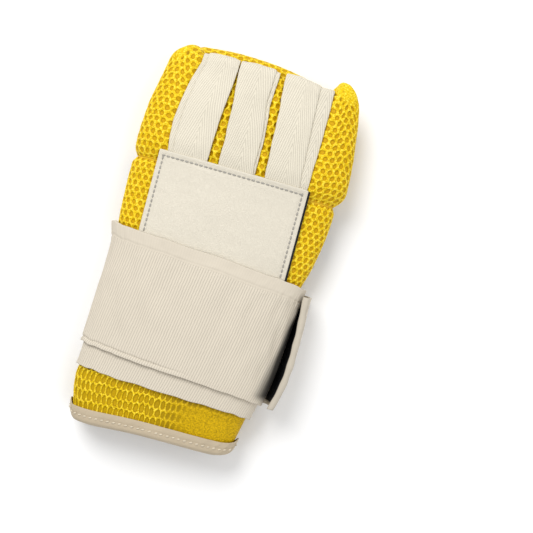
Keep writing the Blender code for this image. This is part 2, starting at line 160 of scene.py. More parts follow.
class ClothSettings(bpy.types.PropertyGroup):
    strap: colour_of("Strap", "Colour of the elastic", (0.655, 0.59, 0.485))
    tape: colour_of("Tape", "Colour of the finger tapes", (0.71, 0.655, 0.535))
    binding: colour_of("Binding", "Colour of the cuff's binding", (0.50, 0.415, 0.295))
    leather: colour_of("Patch", "Colour of the patch", (0.665, 0.615, 0.51))
    rib_pitch: FloatProperty(name="Rib pitch", description="Distance between the strap's ribs, in mm",
                             default=1.56)
    twill_pitch: FloatProperty(name="Twill pitch", default=1.35,
                               description="Distance between the tape's twill lines, in mm")


class StageSettings(bpy.types.PropertyGroup):
    lens: FloatProperty(name="Lens", description="Focal length, in mm", default=85.0)
    view_width: FloatProperty(name="View width", description="Width seen at the glove's height, in mm",
                              default=319.8)
    turn: FloatProperty(name="Turn", description="How far the camera is turned about the vertical",
                        subtype="ANGLE", default=math.radians(15))
    segments: IntProperty(name="Floor segments", description="Edges round the floor's disc", default=96)


# ---- Numbers ----

def smooth_through(stations, at):
    """Monotone cubic through the stations: it never overshoots, and stays flat between equal values."""
    at = min(max(at, stations[0][0]), stations[-1][0])
    steps = [(b[0] - a[0], (b[1] - a[1]) / (b[0] - a[0])) for a, b in zip(stations, stations[1:])]
    slopes = [steps[0][1]]
    for (_, before), (_, after) in zip(steps, steps[1:]):
        slopes.append(0.0 if before * after <= 0 else 2 * before * after / (before + after))
    slopes.append(steps[-1][1])
    i = max(k for k in range(len(steps)) if stations[k][0] <= at)
    width = steps[i][0]
    t = (at - stations[i][0]) / width
    low, high = stations[i][1], stations[i + 1][1]
    return (low * (1 + 2 * t) * (1 - t) ** 2 + high * t * t * (3 - 2 * t)
            + width * (slopes[i] * t * (1 - t) ** 2 + slopes[i + 1] * t * t * (t - 1)))


def mix(a, b, t):
    return a + (b - a) * t


def ease(t):
    t = min(max(t, 0.0), 1.0)
    return t * t * (3 - 2 * t)


def ripple(x, y, size, seed=0.0):
    """Smooth noise from -1 to 1 with features about size across."""
    return noise.noise(Vector((x / size, y / size, seed)))


def travelled(points):
    """Distance from the first point to each of them, along the points."""
    total = [0.0]
    for before, after in zip(points, points[1:]):
        total.append(total[-1] + (after - before).length)
    return total


# ---- The form ----

@functools.lru_cache(maxsize=None)
def section_row(tenths):
    along = tenths / 10
    left, right = smooth_through(LEFT_SIDE, along), smooth_through(RIGHT_SIDE, along)
    top, bottom = smooth_through(TOP_HEIGHT, along), smooth_through(BOTTOM_HEIGHT, along)
    return (left + right) / 2, (right - left) / 2, (top + bottom) / 2, (top - bottom) / 2


def section(along):
    """(centre x, half width, middle height, half height) of the form."""
    low = math.floor(along * 10)
    share = along * 10 - low
    return tuple(mix(a, b, share) for a, b in zip(section_row(low), section_row(low + 1)))


def placed(x, along, z):
    return Vector((x - ORIGIN_ACROSS, along - ORIGIN_ALONG, z))


def on_form(angle, along, off):
    """The point off outside the form at this angle and place along it."""
    centre, wide, middle, high = section(along)
    c, s = math.cos(math.radians(angle)), math.sin(math.radians(angle))
    power = 2 / (TOP_ROUNDNESS if s >= 0 else BOTTOM_ROUNDNESS)
    across = math.copysign(abs(c) ** power, c)
    up = abs(s) ** power if s >= 0 else -min(abs(s) ** power, BOTTOM_FLAT) / BOTTOM_FLAT
    return placed(centre + (wide + off) * across, along, middle + (high + off) * up)


def top_at(x, along):
    """Height of the form's back over x."""
    centre, wide, middle, high = section(along)
    share = min(abs(x - centre) / wide, 1.0)
    return middle + high * (1 - share ** TOP_ROUNDNESS) ** (1 / TOP_ROUNDNESS)


class Girth:
    """Even steps round the form: turns a share of the way round into an angle, at any place along."""

    STEPS, ROW_GAP = 180, 4

    def __init__(self, start, end):
        self.start, self.end = start, end
        self.rows = {}

    def row(self, along):
        if along not in self.rows:
            angles = [mix(self.start, self.end, k / self.STEPS) for k in range(self.STEPS + 1)]
            self.rows[along] = angles, travelled([on_form(angle, along, 0) for angle in angles])
        return self.rows[along]

    def length(self, along):
        return self.row(round(along))[1][-1]

    def angle(self, share, along):
        low = math.floor(along / self.ROW_GAP) * self.ROW_GAP
        high = low + self.ROW_GAP
        return mix(self.angle_on(share, low), self.angle_on(share, high), (along - low) / self.ROW_GAP)

    def angle_on(self, share, along):
        angles, gone = self.row(along)
        goal = min(max(share, 0.0), 1.0) * gone[-1]
        low, high = 0, len(gone) - 1
        while high - low > 1:
            middle = (low + high) // 2
            low, high = (middle, high) if gone[middle] <= goal else (low, middle)
        return mix(angles[low], angles[high], (goal - gone[low]) / (gone[high] - gone[low]))


def back_fade(angle):
    """1 over the back of the hand, falling to 0 at its sides and below."""
    return ease(math.sin(math.radians(angle)) / math.sin(math.radians(25)))


def pad_thickness(angle):
    return mix(SIDE_THICK, PAD_THICK, ease(math.sin(math.radians(angle)) / 0.6))


def pad_front(angle):
    return smooth_through(FRONT_EDGE, angle)


def front_over(x):
    """The knuckle cover's reach over x, on the back of the hand."""
    centre, wide, _, _ = section(FOLD_ALONG)
    share = (x - centre) / wide
    return pad_front(math.degrees(math.acos(math.copysign(abs(share) ** (TOP_ROUNDNESS / 2), share))))


def cuff_edge(angle):
    """How far forward of its usual place the cuff's edge lies."""
    return smooth_through(CUFF_EDGE, angle)


def strap_layer(winding):
    """How many layers of the strap lie under it at this winding."""
    return sum(ease((winding - start) / over) for start, over in (FIRST_CLIMB, SECOND_CLIMB))


# ---- Pieces ----

def written(name, bm, finish):
    """The bmesh, in millimetres, as an object in metres with its material."""
    bmesh.ops.scale(bm, vec=(MM, MM, MM), verts=bm.verts)
    mesh = bpy.data.meshes.new(name)
    bm.to_mesh(mesh)
    bm.free()
    mesh.shade_smooth()
    mesh.materials.append(finish)
    obj = bpy.data.objects.new(name, mesh)
    bpy.context.scene.collection.objects.link(obj)
    return obj


def thicken(obj, thickness, subdivisions=1):
    """Gives a surface its thickness on the inner side, and rounds it."""
    wall = obj.modifiers.new("Thickness", "SOLIDIFY")
    wall.thickness = thickness * MM
    wall.offset = -1.0
    if subdivisions:
        smooth = obj.modifiers.new("Rounding", "SUBSURF")
        smooth.levels = smooth.render_levels = subdivisions
    return obj


def cloth(name, finish, counts, rule, flip=False, close=False):
    """A grid of counts cells whose points go to rule(i, j), with a UV map in millimetres of cloth."""
    bm = bmesh.new()
    across, up = counts
    bmesh.ops.create_grid(bm, x_segments=across, y_segments=up, size=0.5)
    uv = bm.loops.layers.uv.new("Cloth")
    widths = travelled([rule(k / across, 0.5) for k in range(across + 1)])
    heights = travelled([rule(0.5, k / up) for k in range(up + 1)])
    for face in bm.faces:
        for loop in face.loops:
            place = loop.vert.co
            loop[uv].uv = (widths[round((place.x + 0.5) * across)], heights[round((place.y + 0.5) * up)])
    for vert in bm.verts:
        vert.co = rule(vert.co.x + 0.5, vert.co.y + 0.5)
    if close:
        bmesh.ops.remove_doubles(bm, verts=bm.verts, dist=0.02)
    if flip:
        bmesh.ops.reverse_faces(bm, faces=bm.faces)
    return written(name, bm, finish)


def even(i, j):
    return 1.0


def net(name, finish, columns, rows, rule, fade=even, strand=None, level=0.0, close=False):
    """Knitted mesh: a honeycomb of rounded strands round sunk holes, bent by rule(i, j, depth).

    fade(i, j) is 1 where the holes are at their deepest and 0 where the cloth is smooth, at level.
    A mesh with a level is stretched, and twice as uneven.
    """
    settings = bpy.context.scene.glove_net
    bm = bmesh.new()
    radius = 1 / math.sqrt(3)
    row_step = 1.5 * radius
    for row in range(rows):
        for column in range(columns):
            place = Matrix.Translation((column + 0.5 * (row % 2), row * row_step, 0))
            bmesh.ops.create_circle(bm, cap_ends=True, segments=6, radius=radius, matrix=place)
    bmesh.ops.remove_doubles(bm, verts=bm.verts, dist=0.05)
    uneven = settings.unevenness * (2 if level else 1)
    for vert in bm.verts:
        vert.co.x += uneven * ripple(vert.co.x, vert.co.y, 1.7, 1.0)
        vert.co.y += uneven * ripple(vert.co.x, vert.co.y, 1.7, 9.0)
    sunk = bm.verts.layers.float.new("sunk")
    holes = bm.faces[:]
    strand = strand or settings.strand
    for inset, depth in ((strand, 0.2), (strand, 0.65), (0.09, 1.0)):
        bmesh.ops.inset_individual(bm, faces=holes, thickness=inset, use_even_offset=True)
        for face in holes:
            for vert in face.verts:
                vert[sunk] = depth
    width, height = columns - (0 if close else 0.5), (rows - 1) * row_step
    for vert in bm.verts:
        i, j = vert.co.x / width, min(max(vert.co.y / height, 0.0), 1.0)
        vert[sunk] = mix(level, vert[sunk], fade(i, j))
        vert.co = rule(i, j, settings.sink * vert[sunk])
    if close:
        bmesh.ops.remove_doubles(bm, verts=bm.verts, dist=0.25)
    obj = written(name, bm, finish)
    smooth = obj.modifiers.new("Rounding", "SUBSURF")
    smooth.levels = smooth.render_levels = 1
    return obj


def cap_ends(obj):
    """Closes the open ends of a tube."""
    bm = bmesh.new()
    bm.from_mesh(obj.data)
    bmesh.ops.holes_fill(bm, edges=[edge for edge in bm.edges if edge.is_boundary], sides=0)
    bmesh.ops.recalc_face_normals(bm, faces=bm.faces)
    bm.to_mesh(obj.data)
    bm.free()


def attach(obj, body, replaces=()):
    """body is one body's name, to which the object is attached, or "bend" for pieces across the flex seam,
    or "tail_fold" for pieces across the tail's fold; these two only have their transform baked and are
    attached to no body.
    """
    if body == "bend":
        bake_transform(obj)
    elif body == "tail_fold":
        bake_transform(obj)
    else:
        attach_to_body(obj, body)
    if replaces:
        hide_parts(*replaces)
    return obj


def stitches(name, finish, runs, length, gap, thick, slant, body):
    """Short threads along runs, each a function from 0..1 to a point."""
    bm = bmesh.new()
    steps = 600
    for run in runs:
        fine = [run(k / steps) for k in range(steps + 1)]
        gone = 0.0
        goal = gap / 2
        for here, after in zip(fine, fine[1:]):
            step = after - here
            gone += step.length
            if gone < goal or step.length < 1e-6:
                continue
            goal += length + gap
            turn = step.to_track_quat("Y", "Z").to_matrix().to_4x4() @ Matrix.Rotation(slant, 4, "Z")
            shape = Matrix.Diagonal((thick, length / 2, thick * 0.7, 1.0))
            bmesh.ops.create_uvsphere(bm, u_segments=6, v_segments=4, radius=1.0,
                                      matrix=Matrix.Translation(here) @ turn @ shape)
    return attach(written(name, bm, finish), body)


# ---- Shader groups and materials ----

def add_node(tree, kind, inputs=None, **settings):
    """A node with its settings; inputs maps a socket's name or number to a value or another socket."""
    node = tree.nodes.new(kind)
    for key, value in settings.items():
        setattr(node, key, value)
    for key, value in (inputs or {}).items():
        if isinstance(value, bpy.types.NodeSocket):
            tree.links.new(value, node.inputs[key])
        else:
            node.inputs[key].default_value = value
    return node


def maths(tree, operation, a, b=0.0, c=0.0):
    return add_node(tree, "ShaderNodeMath", {0: a, 1: b, 2: c}, operation=operation).outputs[0]


def ranged(tree, value, low, high):
    """0 where the value is at low, 1 where it is at high."""
    return add_node(tree, "ShaderNodeMapRange", {0: value, 1: low, 2: high}).outputs[0]


def noise_of(tree, vector, scale):
    return add_node(tree, "ShaderNodeTexNoise", {"Vector": vector, "Scale": scale}).outputs[0]


def shader_group(name, inputs, outputs):
    """(group, input node, output node), with sockets from {name: (type, default)}."""
    group = bpy.data.node_groups.new(name, "ShaderNodeTree")
    for title, (kind, value) in inputs.items():
        socket = group.interface.new_socket(title, in_out="INPUT", socket_type=kind)
        if value is not None:
            socket.default_value = value
    for title in outputs:
        group.interface.new_socket(title, in_out="OUTPUT", socket_type="NodeSocketFloat")
    return group, add_node(group, "NodeGroupInput"), add_node(group, "NodeGroupOutput")


def ribs_group():
    """Straight ribs across a woven band, a little uneven, from a UV in millimetres."""
    group, given, out = shader_group("Woven ribs", {
        "Vector": ("NodeSocketVector", None), "Pitch": ("NodeSocketFloat", 1.2)}, ["Height", "Groove"])
    waver = noise_of(group, given.outputs["Vector"], 0.35)
    parts = add_node(group, "ShaderNodeSeparateXYZ", {0: given.outputs["Vector"]})
    across = maths(group, "MULTIPLY_ADD", waver, 0.5, parts.outputs["X"])
    turn = maths(group, "MULTIPLY", maths(group, "DIVIDE", across, given.outputs["Pitch"]), math.pi)
    rib = maths(group, "ABSOLUTE", maths(group, "SINE", turn))
    picks = maths(group, "SINE", maths(group, "MULTIPLY", parts.outputs["Y"], math.tau / 0.8))
    height = maths(group, "MULTIPLY_ADD", picks, 0.12, maths(group, "POWER", rib, 0.7))
    group.links.new(height, out.inputs["Height"])
    group.links.new(maths(group, "POWER", maths(group, "SUBTRACT", 1.0, rib), 1.5), out.inputs["Groove"])
    return group


def herringbone_group():
    """Twill lines that turn back at the band's middle, from a UV in millimetres."""
    group, given, out = shader_group("Herringbone", {
        "Vector": ("NodeSocketVector", None), "Pitch": ("NodeSocketFloat", 1.2),
        "Column": ("NodeSocketFloat", 12.5), "Steepness": ("NodeSocketFloat", 4.0)}, ["Height", "Groove"])
    parts = add_node(group, "ShaderNodeSeparateXYZ", {0: given.outputs["Vector"]})
    folded = maths(group, "PINGPONG", parts.outputs["X"], given.outputs["Column"])
    slanted = maths(group, "MULTIPLY", folded, given.outputs["Steepness"])
    waver = noise_of(group, given.outputs["Vector"], 0.3)
    place = maths(group, "ADD", maths(group, "SUBTRACT", slanted, parts.outputs["Y"]), waver)
    reach = maths(group, "MULTIPLY", given.outputs["Pitch"], given.outputs["Steepness"])
    turn = maths(group, "MULTIPLY", maths(group, "DIVIDE", place, reach), math.pi)
    line = maths(group, "ABSOLUTE", maths(group, "SINE", turn))
    picks = maths(group, "SINE", maths(group, "MULTIPLY", parts.outputs["Y"], math.tau / 0.9))
    height = maths(group, "MULTIPLY_ADD", picks, 0.15, line)
    group.links.new(height, out.inputs["Height"])
    group.links.new(maths(group, "POWER", maths(group, "SUBTRACT", 1.0, line), 1.5), out.inputs["Groove"])
    return group


def fibre_group():
    """Fine fibres and slow changes of tone, from a position in metres."""
    group, given, out = shader_group("Fibres and tone", {
        "Vector": ("NodeSocketVector", None), "Fibre scale": ("NodeSocketFloat", 1800.0),
        "Tone scale": ("NodeSocketFloat", 35.0)}, ["Height", "Tone"])
    fibres = add_node(group, "ShaderNodeTexNoise", {
        "Vector": given.outputs["Vector"], "Scale": given.outputs["Fibre scale"], "Detail": 3.0})
    tone = add_node(group, "ShaderNodeTexNoise", {
        "Vector": given.outputs["Vector"], "Scale": given.outputs["Tone scale"], "Detail": 2.0})
    group.links.new(fibres.outputs[0], out.inputs["Height"])
    group.links.new(tone.outputs[0], out.inputs["Tone"])
    return group


def grain_group():
    """Leather grain: small pebbles between creases, from a position in metres."""
    group, given, out = shader_group("Leather grain", {
        "Vector": ("NodeSocketVector", None), "Scale": ("NodeSocketFloat", 1300.0)}, ["Height"])
    bent = noise_of(group, given.outputs["Vector"], 500.0)
    cells = add_node(group, "ShaderNodeTexVoronoi", {
        "Vector": given.outputs["Vector"], "Scale": given.outputs["Scale"]}, feature="DISTANCE_TO_EDGE")
    height = maths(group, "MINIMUM", maths(group, "MULTIPLY", cells.outputs["Distance"], 5.0), 1.0)
    total = maths(group, "MULTIPLY_ADD", bent, 0.8, height)
    group.links.new(total, out.inputs["Height"])
    return group


@functools.lru_cache(maxsize=None)
def shared(builder):
    """The builder's group, built once and used by every material."""
    return builder()


def use_group(tree, builder, inputs):
    return add_node(tree, "ShaderNodeGroup", inputs, node_tree=shared(builder))


def new_material(name):
    """(material, its tree, its Principled shader, object coordinates, UV)."""
    material = bpy.data.materials.new(name)
    material.use_nodes = True
    tree = material.node_tree
    place = tree.nodes.new("ShaderNodeTexCoord")
    return material, tree, tree.nodes["Principled BSDF"], place.outputs["Object"], place.outputs["UV"]


def blend_colours(tree, share, a, b):
    """a where share is 0, b where it is 1."""
    node = add_node(tree, "ShaderNodeMix", {0: share}, data_type="RGBA")
    for socket, value in ((node.inputs[6], a), (node.inputs[7], b)):
        if isinstance(value, bpy.types.NodeSocket):
            tree.links.new(value, socket)
        else:
            socket.default_value = (*value, 1.0)
    return node.outputs[2]


def darker(colour, share):
    return tuple(part * share for part in colour)


def bump(tree, shader, height, distance, strength=1.0):
    """Relief of so many millimetres for the shader."""
    inputs = {"Height": height, "Distance": distance * MM, "Strength": strength}
    tree.links.new(add_node(tree, "ShaderNodeBump", inputs).outputs[0], shader.inputs["Normal"])


def net_material(name, slope, rim, deep):
    """Yarn with painted glints and painted dark specks on the strands, painted shade down the slopes and
    rims, and the holes' own darker backing, partly painted shade, at their bottoms.
    """
    settings = bpy.context.scene.glove_net
    material, tree, shader, place, _ = new_material(name)
    fibres = use_group(tree, fibre_group, {"Vector": place, "Fibre scale": 1100.0, "Tone scale": 60.0})
    sunk = add_node(tree, "ShaderNodeAttribute", attribute_name="sunk").outputs["Fac"]
    yarn = settings.colour
    ridge = blend_colours(tree, fibres.outputs["Tone"], darker(yarn, 1.06), darker(yarn, 0.88))
    glint = ranged(tree, fibres.outputs["Height"], 0.50, 0.62)
    ridge = blend_colours(tree, maths(tree, "MULTIPLY", glint, 0.75), ridge, tuple(settings.glint))
    # painted shade: dark specks on the strands between the glints
    dull = ranged(tree, fibres.outputs["Height"], 0.46, 0.36)
    ridge = blend_colours(tree, maths(tree, "MULTIPLY", dull, 0.85), ridge, darker(slope, 0.8))
    # painted shade by depth: ridge to shaded slope to rim; the hole bottoms take the backing's ochre,
    # darkened further as painted shade
    high = ranged(tree, sunk, 0.15, 0.5)
    middle = ranged(tree, sunk, 0.56, 0.74)
    low = ranged(tree, sunk, 0.76, 0.96)
    speckled = maths(tree, "SUBTRACT", glint, dull)
    side = blend_colours(tree, maths(tree, "MULTIPLY_ADD", speckled, 0.5, 0.5), darker(slope, 0.74),
                         darker(slope, 1.3))
    colour = blend_colours(tree, middle, blend_colours(tree, high, ridge, side), rim)
    colour = blend_colours(tree, low, colour, deep)
    tree.links.new(colour, shader.inputs["Base Color"])
    shader.inputs["Roughness"].default_value = 0.45
    shader.inputs["Specular IOR Level"].default_value = 0.1
    bump(tree, shader, fibres.outputs["Height"], 0.5, 0.8)
    return material


def strap_material(colour, pitch):
    """Elastic ribbed across its width, with a smooth band along its finger-side edge; painted shade in the
    grooves between its ribs and in the gap under the lifted tail.
    """
    material, tree, shader, place, uv = new_material("Ribbed elastic")
    parts = add_node(tree, "ShaderNodeSeparateXYZ", {0: uv})
    skewed = maths(tree, "MULTIPLY_ADD", parts.outputs["Y"], -0.09, parts.outputs["X"])
    vector = add_node(tree, "ShaderNodeCombineXYZ", {0: skewed, 1: parts.outputs["Y"]}).outputs[0]
    weave = use_group(tree, ribs_group, {"Vector": vector, "Pitch": pitch})
    fibres = use_group(tree, fibre_group, {"Vector": place})
    edge = STRAP_WIDTH - SELVEDGE
    band = ranged(tree, parts.outputs["Y"], edge - 0.3, edge + 0.5)
    away = maths(tree, "ABSOLUTE", maths(tree, "SUBTRACT", parts.outputs["Y"], edge))
    line = ranged(tree, away, 0.9, 0.1)
    ribbed = maths(tree, "SUBTRACT", 1.0, maths(tree, "MULTIPLY", band, 0.8))
    tone = blend_colours(tree, fibres.outputs["Tone"], darker(colour, 1.03), darker(colour, 0.94))
    tone = blend_colours(tree, maths(tree, "MULTIPLY", line, 0.3), tone, darker(colour, 0.68))
    tone = blend_colours(tree, maths(tree, "MULTIPLY", band, 0.16), tone, darker(colour, 0.68))
    # painted shade in the grooves between the ribs
    shade = maths(tree, "MULTIPLY", maths(tree, "MULTIPLY", weave.outputs["Groove"], 0.72), ribbed)
    # painted shade: the strap darkens to near black where it runs into the gap under the lifted tail
    painted_gap_shade = add_node(tree, "ShaderNodeAttribute", attribute_name="painted_gap_shade").outputs["Fac"]
    ribs_shown = blend_colours(tree, shade, tone, darker(colour, 0.66))
    tree.links.new(blend_colours(tree, painted_gap_shade, ribs_shown, (0.02, 0.02, 0.02)), shader.inputs["Base Color"])
    shader.inputs["Roughness"].default_value = 0.85
    shader.inputs["Specular IOR Level"].default_value = 0.2
    ribs = maths(tree, "MULTIPLY", weave.outputs["Height"], ribbed)
    bump(tree, shader, maths(tree, "MULTIPLY_ADD", fibres.outputs["Height"], 0.3, ribs), 0.2)
    return material


def tape_material(colour, pitch):
    """Herringbone tape: the weave's relief and grooves, with painted shade in the grooves, and fibres and
    tone on top.
    """
    material, tree, shader, place, uv = new_material("Herringbone tape")
    weave = use_group(tree, herringbone_group, {"Vector": uv, "Pitch": pitch})
    fibres = use_group(tree, fibre_group, {"Vector": place})
    tone = blend_colours(tree, fibres.outputs["Tone"], darker(colour, 1.05), darker(colour, 0.92))
    # painted shade in the twill's grooves
    shade = maths(tree, "MULTIPLY", weave.outputs["Groove"], 0.5)
    tree.links.new(blend_colours(tree, shade, tone, darker(colour, 0.62)), shader.inputs["Base Color"])
    shader.inputs["Roughness"].default_value = 0.85
    shader.inputs["Specular IOR Level"].default_value = 0.25
    height = maths(tree, "MULTIPLY_ADD", fibres.outputs["Height"], 0.5, weave.outputs["Height"])
    bump(tree, shader, height, 0.22)
    return material


def plain_cloth_material(name, colour, roughness, fibre_scale=1600.0, depth=0.25, tone=0.88):
    """Cloth or thread with no weave to see: fibres and changes of tone."""
    material, tree, shader, place, _ = new_material(name)
    fibres = use_group(tree, fibre_group, {"Vector": place, "Fibre scale": fibre_scale, "Tone scale": 70.0})
    tinted = blend_colours(tree, fibres.outputs["Tone"], darker(colour, 1.04), darker(colour, tone))
    tree.links.new(tinted, shader.inputs["Base Color"])
    shader.inputs["Roughness"].default_value = roughness
    shader.inputs["Specular IOR Level"].default_value = 0.25
    bump(tree, shader, fibres.outputs["Height"], depth)
    return material


def leather_material():
    """Smooth coated leather with a fine grain."""
    colour = bpy.context.scene.glove_cloth.leather
    material, tree, shader, place, _ = new_material("White leather")
    grain = use_group(tree, grain_group, {"Vector": place})
    fibres = use_group(tree, fibre_group, {"Vector": place, "Tone scale": 28.0})
    tinted = blend_colours(tree, fibres.outputs["Tone"], darker(colour, 1.04), darker(colour, 0.95))
    tree.links.new(tinted, shader.inputs["Base Color"])
    rough = maths(tree, "MULTIPLY_ADD", fibres.outputs["Tone"], 0.15, 0.42)
    tree.links.new(rough, shader.inputs["Roughness"])
    bump(tree, shader, grain.outputs["Height"], 0.10)
    return material


@functools.lru_cache(maxsize=None)
def finish(name):
    """The material of that name, made once."""
    colours = bpy.context.scene.glove_cloth
    yarn = bpy.context.scene.glove_net
    makers = {
        "net": lambda: net_material("Yellow knit", tuple(yarn.slope), tuple(yarn.rim), tuple(yarn.deep)),
        "tight_net": lambda: net_material("Stretched yellow knit", darker(yarn.slope, 0.76),
                                          darker(yarn.slope, 0.48), darker(yarn.slope, 0.74)),
        "strap": lambda: strap_material(colours.strap, colours.rib_pitch),
        "tape": lambda: tape_material(colours.tape, colours.twill_pitch),
        "binding": lambda: plain_cloth_material("Cuff binding", colours.binding, 0.6),
        # the hem is painted darker than the strap: painted shade of the tail's fold
        "hem": lambda: plain_cloth_material("Hem in painted shade", darker(colours.strap, 0.80), 0.9, 900.0, 0.4),
        "edging": lambda: plain_cloth_material("Edge binding", darker(colours.strap, 0.98), 0.75),
        "leather": leather_material,
        "hook": lambda: plain_cloth_material("Black hook", (0.012, 0.012, 0.013), 0.6, 2600.0, 0.5),
        "foam": lambda: plain_cloth_material("Foam", (0.78, 0.75, 0.66), 0.95, 1400.0, 0.5),
        "lining": lambda: plain_cloth_material("Lining", (0.74, 0.50, 0.03), 0.9, 900.0, 0.35, 0.75),
        "pale_thread": lambda: plain_cloth_material("Pale thread", (0.64, 0.56, 0.43), 0.6),
        "grey_thread": lambda: plain_cloth_material("Grey thread", (0.35, 0.33, 0.295), 0.6),
        "yellow_thread": lambda: plain_cloth_material("Yellow edging", (0.80, 0.50, 0.012), 0.6),
    }
    return makers[name]()


# ---- Yellow mesh ----

class GLOVE_OT_cuff_net(bpy.types.Operator):
    """Mesh ring between the cuff's binding and the strap"""
    bl_idname = "glove.cuff_net"
    bl_label = "Cuff mesh"

    def execute(self, context):
        ring = Girth(0, 360)

        def rule(i, j, depth):
            angle = ring.angle(i % 1.0 if i != 1.0 else 1.0, mix(CUFF_START, CUFF_MESH_END, j))
            along = mix(CUFF_START + cuff_edge(angle), CUFF_MESH_END, j)
            sag = 0.6 * ripple(angle / 14, along / 10, 1.3) * back_fade(angle)
            return on_form(angle, along, sag - depth)

        def fade(i, j):
            angle = math.radians(ring.angle(i % 1.0, 24))
            side = ease((math.cos(angle) + 0.25) / 0.7)
            return mix(ease((j + 0.25) / 0.4), CUFF_OPEN * ease((j - 0.35) / 0.4), side)
        settings = context.scene.glove_net
        across, up = (settings.pitch * share for share in CUFF_CELL)
        columns, rows = round(ring.length(24) / across), round((CUFF_MESH_END - CUFF_START) / up)
        obj = net("cuff_mesh", finish("tight_net"), columns, rows, rule, fade, settings.cuff_strand,
                  CUFF_LEVEL, close=True)
        attach(obj, HAND)
        ring.length(24) * MM
        return {"FINISHED"}


class GLOVE_OT_back_net(bpy.types.Operator):
    """Mesh panel on the back of the hand, from under the strap to the flex seam"""
    bl_idname = "glove.back_net"
    bl_label = "Back mesh panel"

    def execute(self, context):
        arc = Girth(-2, 182)
        first, last = PANEL_START, FLEX_ALONG - 0.6

        def rule(i, j, depth):
            along = mix(first, last, j)
            angle = arc.angle(i, along)
            dip = 1.9 * (1 - ease((last - along) / 3.2))
            puff = 0.32 * ease((last - along) / 12) * abs(math.cos(math.radians(angle)))
            return on_form(angle, along, puff - dip - depth)
        columns = round(arc.length(132) / context.scene.glove_net.pitch)
        rows = round((last - first) / (context.scene.glove_net.pitch * ROW_SHARE)) + 1
        obj = net("back_mesh", finish("net"), columns, rows, rule)
        attach(obj, "bend", ["back_mesh_panel"])
        arc.length(132) * MM
        return {"FINISHED"}


class GLOVE_OT_palm_net(bpy.types.Operator):
    """Mesh panel on the palm side, up to the palm opening"""
    bl_idname = "glove.palm_net"
    bl_label = "Palm mesh panel"

    def execute(self, context):
        arc = Girth(181, 359)

        def rule(i, j, depth):
            angle = arc.angle(i, 120)
            along = mix(PANEL_START, smooth_through(PALM_EDGE, angle) + 1.5, j)
            return on_form(angle, along, -0.25 - depth * 0.8)
        columns = round(arc.length(120) / context.scene.glove_net.pitch)
        obj = net("palm_mesh", finish("net"), columns, 8, rule)
        attach(obj, "bend", ["palm_mesh_panel"])
        arc.length(120) * MM
        return {"FINISHED"}


COVER_TURN, COVER_IN = 0.70, 0.88       # shares of the cover where it starts and ends the front edge


def cover_point(angle, j, off):
    """The knuckle cover from the flex seam (0) over the back, round the front, and in (1)."""
    thick = pad_thickness(angle)
    turn = pad_front(angle) - thick / 2
    if j < COVER_TURN:
        return on_form(angle, mix(COVER_START - 0.4, turn, j / COVER_TURN), off)
    if j > COVER_IN:
        return on_form(angle, mix(turn, turn - 12, (j - COVER_IN) / (1 - COVER_IN)), -thick - off)
    bend = math.pi * (0.5 - (j - COVER_TURN) / (COVER_IN - COVER_TURN))
    radius = thick / 2 + off
    return on_form(angle, turn + radius * math.cos(bend), -thick / 2 + radius * math.sin(bend))


def beside_tapes(x, along):
    """0 under a finger tape, 1 between the tapes and beside them."""
    clear = 99.0
    for upper, lower, _ in TAPES.values():
        for left, right in (upper, lower):
            clear = min(clear, max(smooth_through(left, along) - x, x - smooth_through(right, along)))
    return ease(clear / 2.6)


class GLOVE_OT_knuckle_net(bpy.types.Operator):
    """Mesh cover over the knuckle padding, pinched in at the flex seam and swollen beside the tapes"""
    bl_idname = "glove.knuckle_net"
    bl_label = "Knuckle mesh cover"

    def execute(self, context):
        arc = Girth(COVER_LOW_RIGHT, COVER_LOW_LEFT)

        def turned(i, j):
            return arc.angle(i, mix(COVER_START, COVER_FOLD, min(j / COVER_TURN, 1.0)))

        def rule(i, j, depth):
            angle = turned(i, j)
            into = min(j / COVER_TURN, 1.0) * COVER_BACK
            flat = cover_point(angle, j, 0)
            free = beside_tapes(flat.x + ORIGIN_ACROSS, flat.y + ORIGIN_ALONG)
            over = back_fade(angle)
            dip = 2.0 * (1 - ease(into / 3.4))
            swell = mix(-0.5, 1.5, free) * over * ease(into / 12) * ease((1.15 - j) / 0.4)
            waves = 0.35 * ripple(angle / 9, into / 6, 2.0, 3.0) * free
            return cover_point(angle, j, swell + waves - dip - depth)

        def fade(i, j):
            """The mesh is pulled smooth over the two front corners, most on the thumb side."""
            angle = turned(i, j)
            corner = max(math.exp(-((angle - 30) / 12) ** 2), 0.65 * math.exp(-((angle - 150) / 10) ** 2))
            return 1 - 0.95 * corner * ease((j - 0.60) / 0.10)
        columns = round(arc.length(196) / context.scene.glove_net.pitch)
        obj = net("knuckle_mesh", finish("net"), columns, 25, rule, fade)
        attach(obj, "bend", ["knuckle_cover"])
        arc.length(196) * MM
        return {"FINISHED"}


# ---- Padding and linings ----

